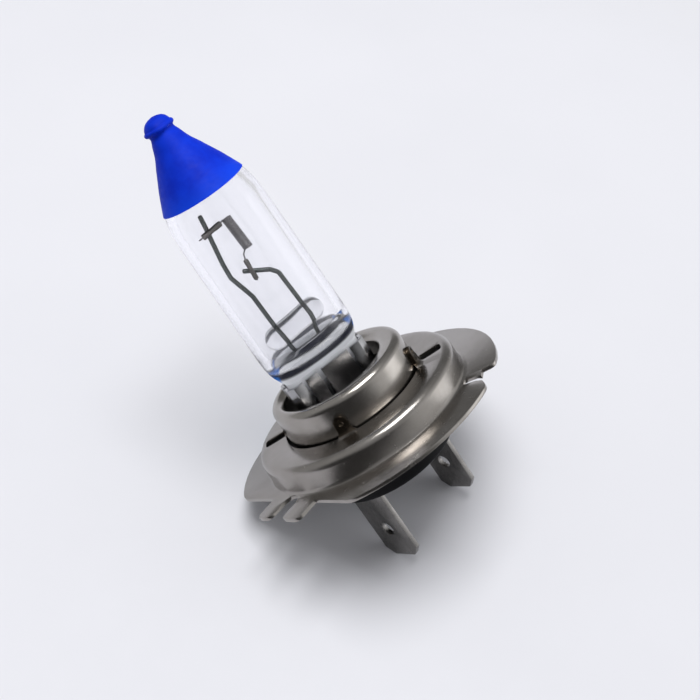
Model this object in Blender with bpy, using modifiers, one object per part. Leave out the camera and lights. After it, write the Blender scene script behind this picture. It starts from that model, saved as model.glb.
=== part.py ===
"""Halogen headlight bulb with two blade contacts and a flanged metal base.

The origin is on the lamp axis, at the centre of the boss's bottom face, and +Z runs to the tip of the glass.
+X points to the forked key tab of the flange. The two blades face each other along X.
Heights below are drawn from the flange's seating face; the object is raised to its origin at the end.
"""

import math

import bmesh
import bpy
from mathutils import Matrix, Vector

MM = 0.001

# Base shell: one pressing of sheet
SHEET = 0.40
FLANGE_R = 16.0
DOME_R = 12.1
DOME_TOP = 3.05
DOME_SHOULDER_R = 0.9
FOOT_R = 0.5
DOME_HOLE_R = 8.4
KEY_CHORD_X = 12.85  # the flange is cut straight across, on both sides of the forked tab
KEY_HALF_WIDTH = 3.65
KEY_SLOT_Y = -0.35
KEY_SLOT_HALF = 1.1
KEY_SLOT_END_X = 12.3
KEY_END_X = 15.75
CORNER_R = 0.8
NOTCH_AZ = 114.5
SLOT_AZ = (135.0, -48.0)
SLOT_TURN = 7.0
SLOT_R = (8.5, 11.1)
SLOT_WIDTH = 1.7
TONGUE_AZ = (41.0, 128.0, 221.0, 308.0)
TONGUE_HEAD_Z = 4.5
TONGUE_HEAD_R = 0.75

# Focus collar
COLLAR_R = 8.05
COLLAR_Z = (2.7, 6.9)
COLLAR_HOLE_R = 6.05  # centred on the burner, not on the lamp axis

# Burner: its glass stands a little off the lamp axis, so that the coil is on it
BURNER_AZ = 155.0
BURNER_OFF = 0.53
BURNER_OFF_AZ = 148.0
GLASS_TOP = 39.1
PINCH_HALF_W = 4.5
PINCH_HALF_T = 1.6
PINCH_BOTTOM = 1.6
PAINT = 0.08
PAINT_BASE_Z = 30.4
GAP = 0.03  # between pieces that touch

# Coil and its posts, in the burner's own frame
LCL = 25.0
COIL_LENGTH = 3.9
COIL_R = 0.46
COIL_TURNS = 11
COIL_WIRE = 0.095
COIL_X = 0.48
COIL_LEAN = -0.05  # mm across for each mm up
POST_R = 0.25
POST_X = 1.66
UPPER_SLEEVE_R = 0.34
UPPER_SLEEVE_Y = -0.53
LOWER_SLEEVE_R = 0.27
LOWER_SLEEVE_Y = -0.47

# Pinch and its clip
FOIL_Y = 0.36
FOIL_WIDTH = 1.9
FOIL_Z = (2.9, 8.5)
CLIP_TOP = 8.4
CLIP_WALL = 0.35
CLIP_FACE_Y = 1.72
CLIP_END_X = 4.62
CLIP_FOOT_Z = 3.05
CLIP_FOOT_R = 7.45

# Insulator and blades
INSULATOR_R = 11.4
INSULATOR_Z = (-0.35, 2.55)
BOSS_R = 7.6
BOSS_BOTTOM = -5.5
BLADE_X = 5.5
BLADE = (0.6, 5.2)
BLADE_Z = (-14.5, 0.9)
BLADE_CHAMFER = 0.95
BLADE_HOLE_Z = -10.75
BLADE_HOLE_R = 0.85


def fresh_scene():
    for obj in list(bpy.data.objects):
        bpy.data.objects.remove(obj, do_unlink=True)
    for collection in list(bpy.data.collections):
        bpy.data.collections.remove(collection)


def collection(name, hidden=False):
    made = bpy.data.collections.new(name)
    bpy.context.scene.collection.children.link(made)
    made.hide_render = hidden
    return made


def material(name, colour, roughness, metallic=0.0, transmission=0.0):
    made = bpy.data.materials.new(name)
    made.use_nodes = True
    shader = made.node_tree.nodes["Principled BSDF"]
    shader.inputs["Base Color"].default_value = (*colour, 1.0)
    shader.inputs["Roughness"].default_value = roughness
    shader.inputs["Metallic"].default_value = metallic
    shader.inputs["Transmission Weight"].default_value = transmission
    made.diffuse_color = (*colour, 0.35 if transmission else 1.0)
    return made


def link(obj, look, smooth=True):
    if look is None:
        CUTTERS.objects.link(obj)
        obj.hide_render = True
        obj.display_type = "WIRE"
        return obj
    BULB.objects.link(obj)
    obj.data.materials.append(look)
    if smooth and obj.type == "MESH":
        for face in obj.data.polygons:
            face.use_smooth = True
    return obj


def from_bmesh(name, bm, look=None, smooth=True):
    bmesh.ops.recalc_face_normals(bm, faces=bm.faces)
    mesh = bpy.data.meshes.new(name)
    bm.to_mesh(mesh)
    bm.free()
    return link(bpy.data.objects.new(name, mesh), look, smooth)


def lathe(name, profile, look=None, steps=48, loop=False):
    """Turns a profile of (radius, height) in mm round Z. A loop is a closed section, clear of the axis."""
    mesh = bpy.data.meshes.new(name)
    edges = [(i, i + 1) for i in range(len(profile) - 1)]
    if loop:
        edges.append((len(profile) - 1, 0))
    mesh.from_pydata([(r * MM, 0, z * MM) for r, z in profile], edges, [])
    obj = link(bpy.data.objects.new(name, mesh), look)
    screw = obj.modifiers.new("turn", "SCREW")
    screw.steps = screw.render_steps = steps
    screw.use_merge_vertices = True
    screw.merge_threshold = 1e-6
    screw.use_smooth_shade = True
    return obj


def settle(obj):
    """Replaces an object's mesh by what its modifiers make of it, with its normals facing out."""
    bpy.context.view_layer.update()
    graph = bpy.context.evaluated_depsgraph_get()
    made = bpy.data.meshes.new_from_object(obj.evaluated_get(graph))
    bm = bmesh.new()
    bm.from_mesh(made)
    bmesh.ops.remove_doubles(bm, verts=bm.verts, dist=1e-7)
    bmesh.ops.recalc_face_normals(bm, faces=bm.faces)
    bm.to_mesh(made)
    bm.free()
    obj.modifiers.clear()
    obj.data = made
    return obj


def arc(cx, cz, radius, start, end, count):
    """Points of an arc in a profile, angles in degrees, +90 up."""
    angles = [math.radians(start + (end - start) * i / count) for i in range(count + 1)]
    return [(cx + radius * math.cos(a), cz + radius * math.sin(a)) for a in angles]


def block(name, size, centre, look=None, turn=0.0):
    bm = bmesh.new()
    bmesh.ops.create_cube(bm, size=1.0)
    bmesh.ops.scale(bm, vec=Vector(size) * MM, verts=bm.verts)
    place = Matrix.Rotation(math.radians(turn), 4, "Z") @ Matrix.Translation(Vector(centre) * MM)
    bmesh.ops.transform(bm, matrix=place, verts=bm.verts)
    return from_bmesh(name, bm, look, smooth=False)


def prism(name, outline, bottom, top, look=None, matrix=None):
    """A flat outline in mm, drawn counter-clockwise, pushed from one height to another."""
    bm = bmesh.new()
    low = [bm.verts.new((x * MM, y * MM, bottom * MM)) for x, y in outline]
    face = bm.faces.new(low)
    pushed = bmesh.ops.extrude_face_region(bm, geom=[face])
    verts = [v for v in pushed["geom"] if isinstance(v, bmesh.types.BMVert)]
    bmesh.ops.translate(bm, vec=(0, 0, (top - bottom) * MM), verts=verts)
    if matrix is not None:
        bmesh.ops.transform(bm, matrix=matrix, verts=bm.verts)
    return from_bmesh(name, bm, look, smooth=False)


def rod(name, start, end, radius, look=None, sides=16):
    """A plain cylinder between two points in mm."""
    a, b = Vector(start) * MM, Vector(end) * MM
    bm = bmesh.new()
    bmesh.ops.create_cone(
        bm, cap_ends=True, segments=sides, radius1=radius * MM, radius2=radius * MM, depth=(b - a).length
    )
    turn = (b - a).to_track_quat("Z", "X").to_matrix().to_4x4()
    bmesh.ops.transform(bm, matrix=Matrix.Translation((a + b) / 2) @ turn, verts=bm.verts)
    return from_bmesh(name, bm, look)


def ball(name, centre, radius, look=None):
    bm = bmesh.new()
    bmesh.ops.create_icosphere(bm, subdivisions=2, radius=radius * MM)
    bmesh.ops.translate(bm, vec=Vector(centre) * MM, verts=bm.verts)
    return from_bmesh(name, bm, look)


def combine(obj, other, how="DIFFERENCE"):
    cut = obj.modifiers.new(how.lower(), "BOOLEAN")
    cut.operation = how
    cut.solver = "EXACT"
    cut.object = other
    return obj


def rounded(points, radius, count=4):
    """A path with each inner corner replaced by an arc of about this radius."""
    points = [Vector(p) for p in points]
    path = [points[0]]
    for before, here, after in zip(points, points[1:], points[2:]):
        first, second = (before - here).normalized(), (after - here).normalized()
        half = first.angle(second) / 2
        room = 0.45 * min((before - here).length, (after - here).length)
        reach = min(radius / math.tan(half), room)
        start, end = here + first * reach, here + second * reach
        for i in range(count + 1):
            t = i / count
            path.append(start.lerp(here, t).lerp(here.lerp(end, t), t))
    path.append(points[-1])
    return path


def wire(name, path, radius, look=None, sides=2):
    """A round wire along a path in mm, with closed ends."""
    curve = bpy.data.curves.new(name, "CURVE")
    curve.dimensions = "3D"
    curve.bevel_depth = radius * MM
    curve.bevel_resolution = sides
    curve.use_fill_caps = True
    spline = curve.splines.new("POLY")
    spline.points.add(len(path) - 1)
    for point, place in zip(spline.points, path):
        point.co = (*(Vector(place) * MM), 1.0)
    obj = bpy.data.objects.new(name, curve)
    return link(obj, look)


def solid_wire(name, path, radius, look=None, sides=2):
    """The same wire as a mesh, which a Boolean can take."""
    drawn = wire(name + "_path", path, radius, None, sides)
    settled = mesh_of(drawn, name)
    bpy.data.objects.remove(drawn, do_unlink=True)
    return link(settled, look)


def mesh_of(obj, name):
    bpy.context.view_layer.update()
    graph = bpy.context.evaluated_depsgraph_get()
    made = bpy.data.meshes.new_from_object(obj.evaluated_get(graph))
    made.name = name
    bm = bmesh.new()
    bm.from_mesh(made)
    bmesh.ops.remove_doubles(bm, verts=bm.verts, dist=1e-7)
    bmesh.ops.recalc_face_normals(bm, faces=bm.faces)
    bm.to_mesh(made)
    bm.free()
    result = bpy.data.objects.new(name, made)
    result.matrix_world = obj.matrix_world.copy()
    return result


def ring(half_x, half_y, z, count, power=2.0):
    """One section of a loft: a circle or ellipse at power 2, squarer as the power grows."""
    points = []
    for i in range(count):
        angle = 2 * math.pi * (i + 0.5) / count
        c, s = math.cos(angle), math.sin(angle)
        x = math.copysign(abs(c) ** (2 / power), c) * half_x
        y = math.copysign(abs(s) ** (2 / power), s) * half_y
        points.append(Vector((x, y, z)) * MM)
    return points


def loft_into(bm, rings, top=None, bottom=None):
    """Skins a stack of sections, closed by a point or by a flat face at either end."""
    rows = [[bm.verts.new(p) for p in points] for points in rings]
    for upper, lower in zip(rows, rows[1:]):
        for i in range(len(upper)):
            j = (i + 1) % len(upper)
            bm.faces.new((upper[i], lower[i], lower[j], upper[j]))
    for row, tip in ((rows[0], top), (rows[-1], bottom)):
        if tip is None:
            bm.faces.new(row)
            continue
        point = bm.verts.new((0, 0, tip * MM))
        for i in range(len(row)):
            bm.faces.new((row[i], row[(i + 1) % len(row)], point))


def polar(radius, degrees, z=0.0):
    angle = math.radians(degrees)
    return Vector((radius * math.cos(angle), radius * math.sin(angle), z))


# Burner: glass, paint, coil and posts


TIP_OUTLINE = [
    (0.62, 39.1), (1.1, 38.85), (1.42, 38.5), (1.57, 38.15), (1.54, 37.85), (1.42, 37.55), (1.46, 37.2),
    (1.68, 36.7), (2.08, 35.7), (2.62, 34.75), (3.18, 33.7), (3.72, 32.7), (4.22, 31.65), (4.68, 30.65),
]  # fmt: skip


def glass_sections(count):
    """The outer sections of the glass, from the nub down to the pinch: (half x, half y, z, power)."""
    under = PAINT + GAP
    tip = [(r - under, r - under, z - under * (0.9 if z > 38.4 else 0.35), 2) for r, z in TIP_OUTLINE]
    tube = [
        (4.9, 4.9, 29.6, 2), (5.12, 5.12, 28.7, 2), (5.2, 5.2, 27.6, 2), (5.25, 5.25, 25.5, 2),
        (5.36, 5.36, 18.0, 2), (5.44, 5.44, 13.2, 2), (5.44, 5.34, 12.0, 2), (5.38, 4.9, 11.0, 2.1),
        (5.16, 4.0, 10.1, 2.3), (4.86, 3.0, 9.4, 2.7), (4.6, 2.1, 8.85, 3.4),
        (PINCH_HALF_W, PINCH_HALF_T, 8.4, 5), (PINCH_HALF_W, PINCH_HALF_T, PINCH_BOTTOM, 5),
    ]  # fmt: skip
    return [ring(x, y, z, count, power) for x, y, z, power in tip + tube]


def glass_hollow(count):
    inner = [
        (0.7, 0.7, 34.6, 2), (1.5, 1.5, 33.9, 2), (2.4, 2.4, 32.7, 2), (3.3, 3.3, 31.2, 2),
        (3.85, 3.85, 29.9, 2), (4.22, 4.22, 28.5, 2), (4.38, 4.38, 26.5, 2), (4.5, 4.5, 18.0, 2),
        (4.58, 4.58, 13.4, 2),
        (4.55, 4.2, 12.2, 2), (4.48, 3.3, 11.2, 2), (4.3, 2.1, 10.4, 2), (3.9, 1.0, 9.95, 2),
    ]  # fmt: skip
    return [ring(x, y, z, count, power) for x, y, z, power in inner]


def glass_envelope(look, channels):
    count = 40
    bm = bmesh.new()
    loft_into(bm, glass_sections(count), top=GLASS_TOP)
    glass = from_bmesh("glass_envelope", bm, look)
    bm = bmesh.new()
    loft_into(bm, glass_hollow(count), top=34.85, bottom=9.85)
    combine(glass, from_bmesh("glass_hollow", bm))
    for channel in channels:
        combine(glass, channel)
    return glass


def tip_coating(look):
    """A film of paint with the glass's own shape, from the nub to a sharp line on the shoulder."""
    count = 40
    outer = [(r, r, z, 2) for r, z in TIP_OUTLINE] + [(4.79, 4.79, PAINT_BASE_Z, 2)]
    under = PAINT + GAP / 2
    inner = [(r - under, r - under, z - under * (0.8 if z > 38.4 else 0.25), 2) for r, z in TIP_OUTLINE]
    inner += [(4.79 - under, 4.79 - under, PAINT_BASE_Z, 2)]
    bm = bmesh.new()
    loft_into(bm, [ring(x, y, z, count, p) for x, y, z, p in outer], top=39.24)
    paint = from_bmesh("tip_coating", bm, look)
    inner[-1] = (inner[-1][0], inner[-1][1], PAINT_BASE_Z - 0.5, 2)
    inner.insert(-1, (4.79 - under, 4.79 - under, PAINT_BASE_Z, 2))
    bm = bmesh.new()
    loft_into(bm, [ring(x, y, z, count, p) for x, y, z, p in inner], top=39.24 - under)
    combine(paint, from_bmesh("paint_inside", bm))
    return paint


LONG_POST = [
    (-1.72, 0, 28.4), (-1.97, 0, 26.8), (-2.15, 0, 25.8), (-2.58, 0, 23.2), (-2.72, 0, 21.5),
    (-2.38, 0, 20.2), (-1.96, 0, 18.6), (-1.92, 0, 16.6), (-1.86, 0, 14.6), (-POST_X, 0, 12.2),
    (-POST_X, 0, 7.3),
]  # fmt: skip
SHORT_POST = [
    (-1.24, 0, 21.3), (1.12, 0, 19.84), (1.7, 0, 19.1), (1.96, 0, 13.6), (POST_X, 0, 11.6), (POST_X, 0, 7.3),
]  # fmt: skip
UPPER_SLEEVE = ((-2.75, UPPER_SLEEVE_Y, 26.7), (-0.4, UPPER_SLEEVE_Y, 26.9))
LOWER_SLEEVE = ((-0.48, LOWER_SLEEVE_Y, 22.3), (-0.63, LOWER_SLEEVE_Y, 19.95))


def coil_path():
    """Tail, through the upper sleeve, round the coil, through the lower sleeve, tail."""
    top, bottom = LCL + COIL_LENGTH / 2, LCL - COIL_LENGTH / 2
    path = [(-3.15, UPPER_SLEEVE_Y, 26.67), UPPER_SLEEVE[0], UPPER_SLEEVE[1], (-0.25, -0.42, 26.93)]
    steps = 10
    for i in range(COIL_TURNS * steps + 1):
        turn = i / steps
        angle = math.pi + 2 * math.pi * turn
        z = top + (bottom - top) * turn / COIL_TURNS
        x = COIL_X + COIL_LEAN * (z - LCL) + COIL_R * math.cos(angle)
        path.append((x, COIL_R * math.sin(angle), z))
    path += [(-0.25, -0.3, 22.85), LOWER_SLEEVE[0], LOWER_SLEEVE[1], (-0.64, LOWER_SLEEVE_Y, 19.85)]
    return path


def sleeve(name, ends, radius, look, post):
    """A crimped tube that carries a leg of the coil, notched where it is welded on its post."""
    tube = rod(name, ends[0], ends[1], radius, look, sides=18)
    a, b = Vector(ends[0]), Vector(ends[1])
    along = (b - a).normalized()
    combine(tube, rod(name + "_bore", a - along, b + along, COIL_WIRE + 0.05, sides=12))
    combine(tube, solid_wire(name + "_seat", rounded(post, 0.8), POST_R + GAP))
    return tube


def glass_bridge(look):
    """A rod with melted ends that holds both posts apart."""
    half, radius, steps = 3.7, 1.32, 20
    cap = arc(0, half - radius, radius, 90, 0, 5)[1:-1]
    bm = bmesh.new()
    rows = [(r, z) for r, z in cap] + [(radius, half - radius), (radius * 0.97, 0), (radius, radius - half)]
    rows += [(r, -z) for r, z in reversed(cap)]
    rings = [ring(r, r, z, steps) for r, z in rows]
    loft_into(bm, rings, top=half, bottom=-half)
    lay = Matrix.Translation(Vector((0, 0, 13.57)) * MM) @ Matrix.Rotation(math.radians(86), 4, "Y")
    bmesh.ops.transform(bm, matrix=lay, verts=bm.verts)
    bridge = from_bmesh("glass_bridge", bm, look)
    for name, post in (("bridge_hole_long", LONG_POST), ("bridge_hole_short", SHORT_POST)):
        combine(bridge, solid_wire(name, rounded(post, 0.8), POST_R + GAP))
    return bridge


def outer_lead(side):
    """From the foil, out of the pinch, across to the blade and down its inner face.

    side is -1 or +1 along the burner.
    """
    to_burner = BURNER.inverted()
    foot = Vector((-side * (BLADE_X - BLADE[0] / 2 - 0.3 - GAP), -0.6 * side, -0.2))
    foot = to_burner @ (foot * MM) / MM
    x = side * POST_X
    bend = (foot.x * 0.72, foot.y * 0.72, 0.75)
    return [(x, 0, 4.1), (x, 0, 1.3), bend, foot, foot + Vector((0, 0, -1.4))]


def foil(name, side, look=None, grow=0.0):
    size = (FOIL_WIDTH + 2 * grow, 0.05 + 2 * grow, FOIL_Z[1] - FOIL_Z[0] + 2 * grow)
    return block(name, size, (side * POST_X, FOIL_Y, sum(FOIL_Z) / 2), look)


def clip_half(name, side, look):
    """Half of the clip: a fingered face on the pinch, its ends wrapped round, and a foot to the collar."""
    face_y = CLIP_FACE_Y + CLIP_WALL / 2
    section = [
        (-CLIP_END_X - CLIP_WALL, 0.2), (-CLIP_END_X, 0.2), (-CLIP_END_X, CLIP_FACE_Y - 0.55),
        (-CLIP_END_X + 0.55, CLIP_FACE_Y), (CLIP_END_X - 0.55, CLIP_FACE_Y), (CLIP_END_X, CLIP_FACE_Y - 0.55),
        (CLIP_END_X, 0.2), (CLIP_END_X + CLIP_WALL, 0.2), (CLIP_END_X + CLIP_WALL, CLIP_FACE_Y - 0.4),
        (CLIP_END_X - 0.4, CLIP_FACE_Y + CLIP_WALL), (-CLIP_END_X + 0.4, CLIP_FACE_Y + CLIP_WALL),
        (-CLIP_END_X - CLIP_WALL, CLIP_FACE_Y - 0.4),
    ]  # fmt: skip
    turn = Matrix.Rotation(math.pi if side < 0 else 0.0, 4, "Z")
    clip = prism(name, section, CLIP_FOOT_Z, CLIP_TOP, look, turn)
    axis = BURNER.inverted().translation / MM
    foot = [axis + polar(CLIP_FOOT_R, a + (0 if side > 0 else 180)) for a in range(12, 169, 12)]
    foot = prism(name + "_foot", [(p.x, p.y) for p in foot], CLIP_FOOT_Z, CLIP_FOOT_Z + CLIP_WALL)
    opening = (2 * CLIP_END_X, 2 * CLIP_FACE_Y, 3)
    combine(foot, block(name + "_foot_opening", opening, (0, 0, CLIP_FOOT_Z)))
    combine(clip, foot, "UNION")
    for x, width in ((-2.9, 0.35), (0.95, 0.55), (2.9, 0.35)):
        centre = (x * side, side * face_y, CLIP_TOP - 1.9)
        combine(clip, block(f"{name}_slit_{x}", (width, 2.2, 4.6), centre))
    return clip


# Base: collar, shell, insulator, blades


def focus_collar(look):
    """A rolled cup. Its flat top leans towards the burner, so that the hole is centred on it."""
    low, high = COLLAR_Z
    wall, roll = SHEET, 0.85
    outer = [(COLLAR_R, low), (COLLAR_R, high - roll)]
    outer += arc(COLLAR_R - roll, high - roll, roll, 18, 90, 4)
    outer += [(COLLAR_HOLE_R + 0.22, high - 0.2), (COLLAR_HOLE_R, high - 0.55)]
    inner = [(COLLAR_HOLE_R + 0.3, high - 0.78), (COLLAR_HOLE_R + 0.48, high - 0.5)]
    inner += arc(COLLAR_R - roll, high - roll, roll - wall, 90, 0, 3)
    inner += [(COLLAR_R - wall, low)]
    collar = settle(lathe("focus_collar", outer + inner, look, steps=48, loop=True))
    flat = COLLAR_R - roll
    for vertex in collar.data.vertices:
        radius = math.hypot(vertex.co.x, vertex.co.y) / MM
        share = max(0.0, min(1.0, (flat - radius) / (flat - COLLAR_HOLE_R - 0.3)))
        vertex.co += share * Vector(BURNER.translation)
    return collar


def tongue_outline():
    """Across a weld tongue, flat: a flared root, a waist and a round head."""
    root = [(-1.5, 2.6), (1.5, 2.6), (1.15, 3.05), (0.8, 3.45)]
    head = arc(0, TONGUE_HEAD_Z, TONGUE_HEAD_R, -10, 190, 10)
    return root + head + [(-0.8, 3.45), (-1.15, 3.05)]


def soften(points, radius, count=3):
    """A closed flat outline with its marked corners rounded. Points are (x, y, rounded or not)."""
    outline = []
    for i, (x, y, corner) in enumerate(points):
        here = Vector((x, y))
        if not corner:
            outline.append((x, y))
            continue
        before, after = Vector(points[i - 1][:2]), Vector(points[(i + 1) % len(points)][:2])
        reach = min(radius, 0.45 * min((before - here).length, (after - here).length))
        start = here + (before - here).normalized() * reach
        end = here + (after - here).normalized() * reach
        for k in range(count + 1):
            t = k / count
            spot = start.lerp(here, t).lerp(here.lerp(end, t), t)
            outline.append((spot.x, spot.y))
    return outline


def flange_outline():
    """The blank of the flange: round, cut straight beside the key tab, a flared notch on either side."""
    corner = math.degrees(math.acos(KEY_CHORD_X / FLANGE_R))

    def rim(start, end):
        count = max(2, round(abs(end - start) / 6))
        spots = [polar(FLANGE_R, start + (end - start) * i / count) for i in range(count + 1)]
        return [(p.x, p.y, False) for p in spots[1:-1]]

    def notch(side):
        """Round the notch, running away from the key tab: a thin slit, then a tooth and a wide mouth."""
        edge = [(16.0, -2.45, True), (15.0, -1.1, False), (14.0, -0.65, False), (12.4, -0.6, True),
                (12.4, 0.42, True), (13.9, 0.42, False), (14.6, 0.0, False), (14.4, 1.25, False),
                (16.0, 1.55, True)]  # fmt: skip
        turn = math.radians(side * NOTCH_AZ)
        spots = []
        for along, across, soft in edge:
            r, w = along - (0.18 if soft and along > 15.5 else 0), across * side
            x = r * math.cos(turn) - w * math.sin(turn)
            y = r * math.sin(turn) + w * math.cos(turn)
            spots.append((x, y, soft))
        return spots

    top = polar(FLANGE_R, corner)
    upper_slot, lower_slot = KEY_SLOT_Y + KEY_SLOT_HALF, KEY_SLOT_Y - KEY_SLOT_HALF
    centre = KEY_SLOT_END_X + KEY_SLOT_HALF
    bend = [(centre - KEY_SLOT_HALF * math.sin(a), KEY_SLOT_Y - KEY_SLOT_HALF * math.cos(a), False)
            for a in (math.pi * i / 6 for i in range(7))]  # fmt: skip
    first, last = NOTCH_AZ - 8.8, NOTCH_AZ + 5.6
    points = [(KEY_CHORD_X, KEY_HALF_WIDTH, False), (top.x, top.y, True)] + rim(corner, first)
    points += notch(1) + rim(last, 360 - last)
    points += list(reversed(notch(-1))) + rim(360 - first, 360 - corner)
    points += [(top.x, -top.y, True), (KEY_CHORD_X, -KEY_HALF_WIDTH, False)]
    points += [(KEY_END_X, -KEY_HALF_WIDTH, True), (KEY_END_X, lower_slot, True)]
    points += bend + [(KEY_END_X, upper_slot, True), (KEY_END_X, KEY_HALF_WIDTH, True)]
    return soften(points, CORNER_R)


def slot_lip(name, place, reach, side):
    """The strip of sheet beside a slot, pressed down along its free edge, on its -1 or +1 side."""
    root, edge = side * (SLOT_WIDTH / 2 + 0.2), side * (SLOT_WIDTH / 2 + 0.02)
    section = [(root, -0.2), (root, -0.33), (0.0, -0.43), (-side * 0.06, -0.26), (edge, -0.05)]
    stand = Matrix(((0, 0, 1, 0), (1, 0, 0, 0), (0, 1, 0, 0), (0, 0, 0, 1)))
    return prism(name, section, *reach, None, place @ stand)


def base_shell(look):
    inside = DOME_SHOULDER_R - SHEET
    centre = DOME_R - DOME_SHOULDER_R
    foot = DOME_R + FOOT_R
    outer = [(DOME_HOLE_R, DOME_TOP)]
    outer += arc(centre, DOME_TOP - DOME_SHOULDER_R, DOME_SHOULDER_R, 90, 0, 5)
    outer += arc(foot, FOOT_R, FOOT_R, 180, 270, 2)
    outer += [(FLANGE_R + 1, 0.0), (FLANGE_R + 1, -SHEET)]
    under = arc(foot, FOOT_R, FOOT_R + SHEET, 270, 180, 3)
    under += arc(centre, DOME_TOP - DOME_SHOULDER_R, inside, 0, 90, 3)
    under += [(DOME_HOLE_R, DOME_TOP - SHEET)]
    shell = settle(lathe("base_shell", outer + under, look, steps=60, loop=True))

    upright = COLLAR_R + GAP
    strip = [(9.5, 2.97), (9.0, 3.07), (8.66, 3.25), (upright + SHEET, 3.7), (upright + SHEET, 5.8)]
    strip += [(upright, 5.8), (upright, 3.55), (8.3, 3.1), (8.7, 2.73), (9.5, 2.67)]
    tongues = settle(lathe("tongue_ring", strip, steps=60, loop=True))
    keep = None
    for i, azimuth in enumerate(TONGUE_AZ):
        stand = Matrix(((0, 0, 1, 0), (1, 0, 0, 0), (0, 1, 0, 0), (0, 0, 0, 1)))
        turn = Matrix.Rotation(math.radians(azimuth), 4, "Z")
        piece = prism(f"tongue_shape_{i}", tongue_outline(), 7.8, 9.45, None, turn @ stand)
        keep = piece if keep is None else combine(keep, piece, "UNION")
    combine(tongues, settle(keep), "INTERSECT")
    combine(shell, settle(tongues), "UNION")
    for i, azimuth in enumerate(TONGUE_AZ):
        mark = polar(upright + SHEET + 0.42, azimuth, TONGUE_HEAD_Z)
        combine(shell, ball(f"weld_mark_{i}", mark, 0.58))

    combine(shell, prism("flange_blank", flange_outline(), -3, 9), "INTERSECT")
    for i, azimuth in enumerate(SLOT_AZ):
        place = polar(sum(SLOT_R) / 2, azimuth, DOME_TOP) * MM
        turn = Matrix.Translation(place) @ Matrix.Rotation(math.radians(azimuth + SLOT_TURN), 4, "Z")
        length = (SLOT_R[1] - SLOT_R[0]) / 2
        half = SLOT_WIDTH / 2
        start = 0.08 - length  # just outside the upright of the tongue beside it
        outline = [(start, -half), (length - 0.3, -half), (length, -half + 0.3)]
        outline += [(length, half - 0.3), (length - 0.3, half), (start, half)]
        combine(shell, prism(f"dome_slot_{i}", outline, -1.2, 1.2, None, turn))
        side = -1 if i == 0 else 1
        combine(shell, slot_lip(f"slot_lip_{i}", turn, (start - 0.05, length - 0.14), side), "UNION")
    return shell


def insulator(look):
    low, high = INSULATOR_Z
    profile = [(0, high), (INSULATOR_R - 0.5, high), (INSULATOR_R, high - 0.5)]
    profile += [(INSULATOR_R, low), (BOSS_R, low)]
    profile += arc(BOSS_R - 0.35, BOSS_BOTTOM + 0.35, 0.35, 0, -90, 3) + [(0, BOSS_BOTTOM)]
    body = settle(lathe("insulator", profile, look, steps=48))
    combine(body, block("lead_pocket", (2 * (BLADE_X - BLADE[0] / 2), 5.4, 5.6), (0, 0, 0.6)))
    combine(body, block("pinch_pocket", (11.0, 5.0, 4), (0, 0, 3.4), None, BURNER_AZ))
    for side in (-1, 1):
        size = (BLADE[0] + 2 * GAP, BLADE[1] + 2 * GAP, BLADE_Z[1] + GAP - BOSS_BOTTOM + 1)
        centre = (side * BLADE_X, 0, (BLADE_Z[1] + GAP + BOSS_BOTTOM - 1) / 2)
        combine(body, block(f"blade_slot_{side}", size, centre))
    return body


def blade(name, side, look):
    half = BLADE[1] / 2
    low, high = BLADE_Z
    cut = BLADE_CHAMFER
    outline = [(-half, low + cut), (-half + cut, low), (half - cut, low), (half, low + cut)]
    outline += [(half, high), (-half, high)]
    stand = Matrix(((0, 0, 1, 0), (1, 0, 0, 0), (0, 1, 0, 0), (0, 0, 0, 1)))
    place = Matrix.Translation((side * BLADE_X * MM, 0, 0)) @ stand
    plate = prism(name, outline, -BLADE[0] / 2, BLADE[0] / 2, look, place)
    ends = [(side * BLADE_X + reach, 0, BLADE_HOLE_Z) for reach in (-1, 1)]
    combine(plate, rod(name + "_hole", *ends, BLADE_HOLE_R, sides=20))
    return plate


fresh_scene()
BULB = collection("headlight_bulb")
CUTTERS = collection("cutters", hidden=True)

QUARTZ = material("quartz_glass", (0.93, 0.95, 0.97), 0.03, 0.0, 1.0)
BLUE = material("blue_paint", (0.012, 0.045, 0.68), 0.45)
TUNGSTEN = material("tungsten", (0.33, 0.33, 0.34), 0.4, 1.0)
MOLYBDENUM = material("molybdenum", (0.2, 0.21, 0.2), 0.35, 1.0)
SLEEVE = material("molybdenum_sleeve", (0.26, 0.23, 0.21), 0.45, 1.0)
STAINLESS = material("stainless_clip", (0.42, 0.42, 0.43), 0.3, 1.0)
NICKEL = material("nickelled_steel", (0.5, 0.47, 0.43), 0.28, 1.0)
COLLAR = material("collar_steel", (0.5, 0.46, 0.41), 0.26, 1.0)
BLACK = material("black_insulator", (0.012, 0.012, 0.013), 0.5)
BRASS = material("tinned_blade", (0.44, 0.43, 0.41), 0.35, 1.0)

TURN = Matrix.Rotation(math.radians(BURNER_AZ), 4, "Z")
BURNER = Matrix.Translation(polar(-BURNER_OFF, BURNER_OFF_AZ) * MM) @ TURN

channels = []
burner = []
for side, post in ((-1, LONG_POST), (1, SHORT_POST)):
    name = "long" if side < 0 else "short"
    path = rounded(post, 0.8)
    bore = [(side * POST_X, 0, 10.6), (side * POST_X, 0, 7.25)]
    channels.append(solid_wire(f"channel_{name}", bore, POST_R + GAP))
    channels.append(foil(f"channel_foil_{name}", side, None, GAP))
    bore = [(side * POST_X, 0, 4.15), (side * POST_X, 0, 0.9)]
    channels.append(solid_wire(f"channel_lead_{name}", bore, POST_R + GAP))
    link_gap = block(f"channel_joint_{name}", (0.3, FOIL_Y, 5.6), (side * POST_X, FOIL_Y / 2, 5.7))
    channels.append(link_gap)
    burner.append(wire(f"{name}_lead_post", path, POST_R, MOLYBDENUM))
    burner.append(foil(f"foil_{name}", side, MOLYBDENUM))
    burner.append(wire(f"outer_lead_{name}", rounded(outer_lead(side), 0.9), POST_R, MOLYBDENUM))
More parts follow.
